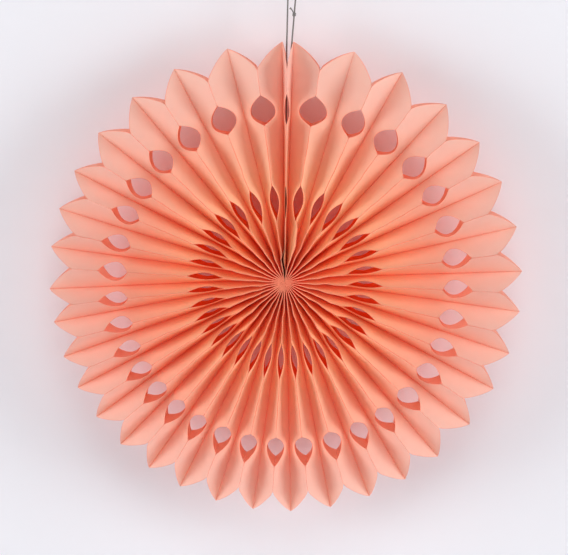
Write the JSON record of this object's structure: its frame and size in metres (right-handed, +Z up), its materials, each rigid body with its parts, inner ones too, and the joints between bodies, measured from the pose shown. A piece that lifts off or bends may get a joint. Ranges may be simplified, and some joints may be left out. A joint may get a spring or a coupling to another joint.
{
  "type": "paper fan rosette",
  "caption": "Round honeycomb fan of folded, die-cut tissue paper with pointed petals and two rings of pierced holes, hung by a thread loop as a party decoration.",
  "frame": {"origin": "the top of the thread loop, where it bears on its hook, above the hub of the rosette", "axes": "the rosette stands upright: -Y is its front, +Y its back, +Z is up along the thread, +X to the right seen from the front"},
  "size_m": [0.2997, 0.044, 0.3319],
  "materials": {
    "tissue": "matt, slightly translucent dyed tissue",
    "seam_tape": "matt paper tape",
    "thread": "matt twisted thread"
  },
  "bodies": {
    "root": {"petal_01": "tissue", "petal_02": "tissue", "petal_03": "tissue", "petal_04": "tissue", "petal_05": "tissue", "petal_06": "tissue", "petal_07": "tissue", "petal_08": "tissue", "petal_09": "tissue", "petal_10": "tissue", "petal_11": "tissue", "petal_12": "tissue", "petal_13": "tissue", "petal_14": "tissue", "petal_15": "tissue", "petal_16": "tissue", "petal_17": "tissue", "petal_18": "tissue", "petal_19": "tissue", "petal_20": "tissue", "petal_21": "tissue", "petal_22": "tissue", "petal_23": "tissue", "petal_24": "tissue", "petal_25": "tissue", "petal_26": "tissue", "petal_27": "tissue", "petal_28": "tissue", "petal_29": "tissue", "petal_30": "tissue", "petal_31": "tissue", "petal_32": "tissue", "petal_33": "tissue", "petal_34": "tissue", "petal_35": "tissue", "front_seam_tape": "seam_tape", "back_seam_tape": "seam_tape", "thread_in_seam": "thread", "hanging_thread": "thread", "thread_knot": "thread"}
  },
  "joints": []
}
